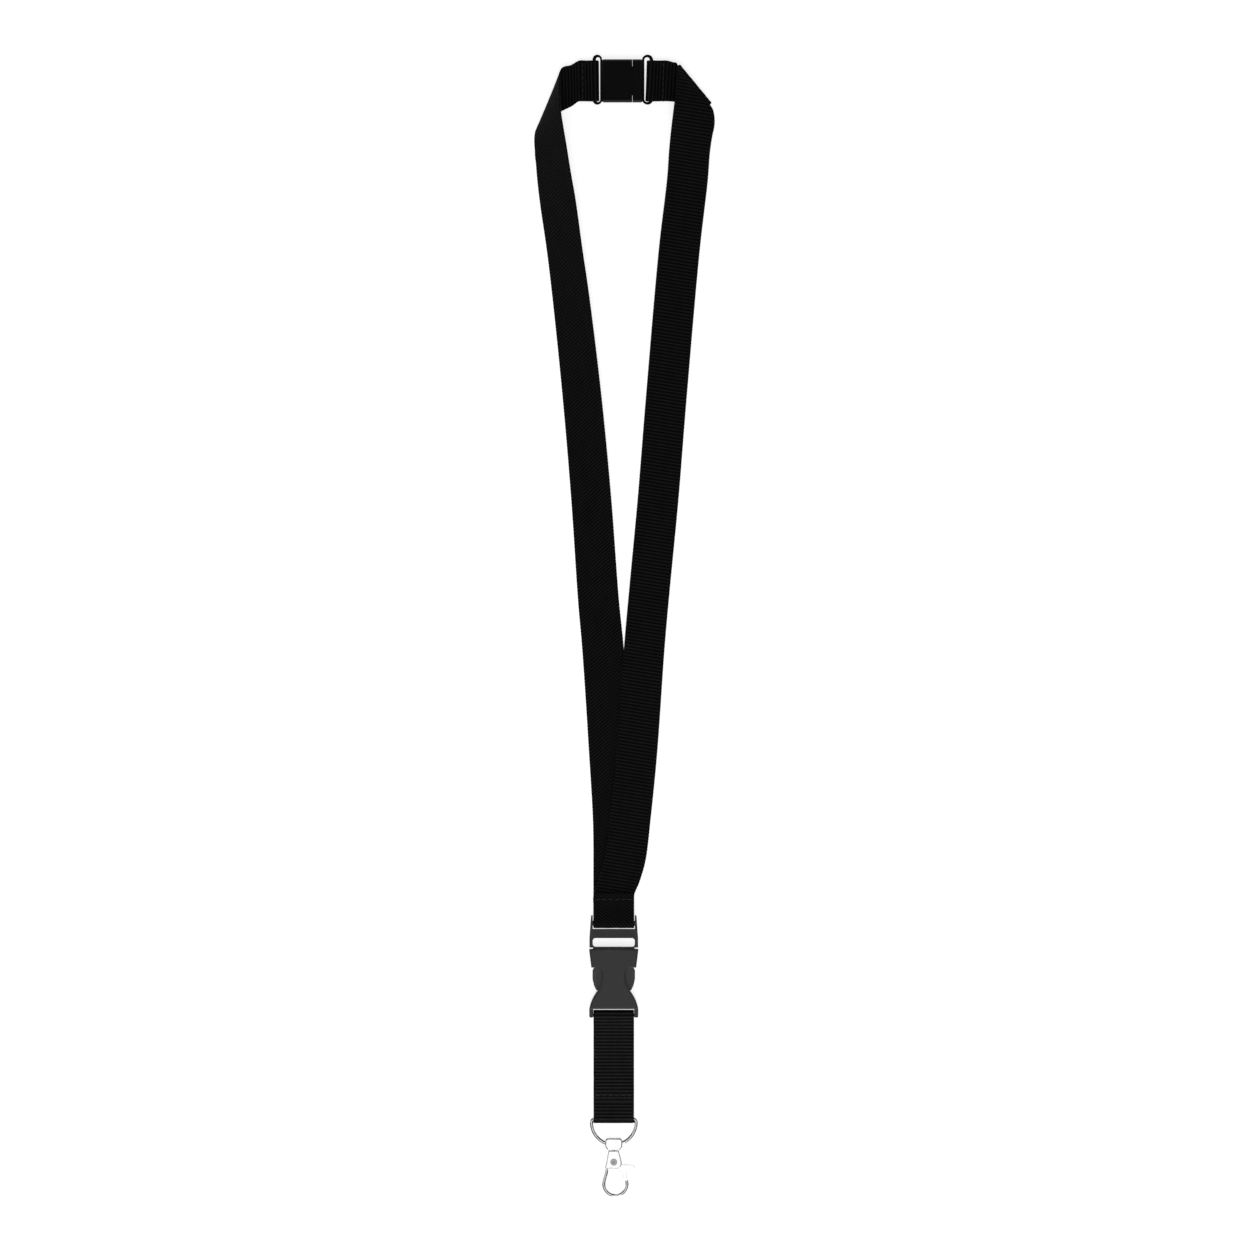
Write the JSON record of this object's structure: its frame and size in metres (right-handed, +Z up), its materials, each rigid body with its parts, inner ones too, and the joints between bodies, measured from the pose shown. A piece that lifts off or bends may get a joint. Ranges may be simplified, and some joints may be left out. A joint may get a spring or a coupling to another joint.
{
  "type": "neck lanyard",
  "caption": "Flat webbing neck lanyard with a breakaway clasp, a side-release buckle, a webbing hanger, a D-ring and a swivel trigger hook.",
  "frame": {"origin": "centre of the laid-out lanyard's footprint, on the surface it lies on", "axes": "+Y from the hook up to the clasp at the nape, +Z up from the surface, +X to the wearer's side that holds the clasp plug"},
  "size_m": [0.0887, 0.5595, 0.0132],
  "materials": {
    "webbing": "matte woven polyester",
    "thread": "sewing thread",
    "clasp_plastic": "satin black moulding",
    "buckle_plastic": "satin charcoal moulding",
    "ring_metal": "bright nickel plate",
    "hook_metal": "bright nickel plated casting",
    "rivet_metal": "brushed steel",
    "spring_steel": "spring steel wire"
  },
  "bodies": {
    "left_half": {"neck_strap_left": "webbing", "loop_stitches_left": "thread", "clasp_socket": "clasp_plastic", "seam_stitches": "thread", "buckle_male_frame": "buckle_plastic"},
    "right_half": {"neck_strap_right": "webbing", "loop_stitches_right": "thread", "clasp_plug": "clasp_plastic"},
    "arm_left": {"buckle_arm_left": "buckle_plastic"},
    "arm_right": {"buckle_arm_right": "buckle_plastic"},
    "hanger": {"buckle_female": "buckle_plastic", "hanger_strap": "webbing", "hanger_stitches": "thread"},
    "ring": {"d_ring": "ring_metal"},
    "saddle": {"swivel_saddle": "hook_metal"},
    "hook": {"swivel_pin": "hook_metal", "hook_body": "hook_metal", "gate_rivet": "rivet_metal", "gate_spring": "spring_steel"},
    "gate": {"hook_gate": "hook_metal"}
  },
  "joints": [
    {"name": "neck_strap_opening", "type": "hinge", "parent": "left_half", "child": "right_half", "pos_m": [-0.0055, -0.1345, 0.00275], "axis": [0, 0, -1], "range_deg": [0, 20]},
    {"name": "arm_left_squeeze", "type": "hinge", "parent": "left_half", "child": "arm_left", "pos_m": [-0.0137, -0.1615, 0.004], "axis": [0, 0, 1], "range_deg": [0, 8], "stiffness_Nm_per_rad": 0.05},
    {"name": "arm_right_squeeze", "type": "hinge", "parent": "left_half", "child": "arm_right", "pos_m": [0.0027, -0.1615, 0.004], "axis": [0, 0, 1], "range_deg": [-8, 0]},
    {"name": "buckle_release", "type": "slide", "parent": "left_half", "child": "hanger", "axis": [0, -1, 0], "range_m": [0, 0.022]},
    {"name": "ring_swing", "type": "hinge", "parent": "hanger", "child": "ring", "pos_m": [-0.0055, -0.2414, 0.0027], "axis": [1, 0, 0], "range_deg": [-70, 70]},
    {"name": "saddle_swing", "type": "hinge", "parent": "ring", "child": "saddle", "pos_m": [-0.0055, -0.25395, 0.0027], "axis": [1, 0, 0], "range_deg": [-60, 60]},
    {"name": "hook_swivel", "type": "hinge", "parent": "saddle", "child": "hook", "pos_m": [-0.0055, -0.2585, 0.0027], "axis": [0, 1, 0], "continuous": true},
    {"name": "gate_press", "type": "hinge", "parent": "hook", "child": "gate", "pos_m": [-0.0055, -0.2624, 0.0027], "axis": [0, 0, -1], "range_deg": [0, 22], "stiffness_Nm_per_rad": 0.01}
  ],
  "couplings": [
    {"joint": "arm_right_squeeze", "follows": "arm_left_squeeze", "ratio": -1}
  ]
}
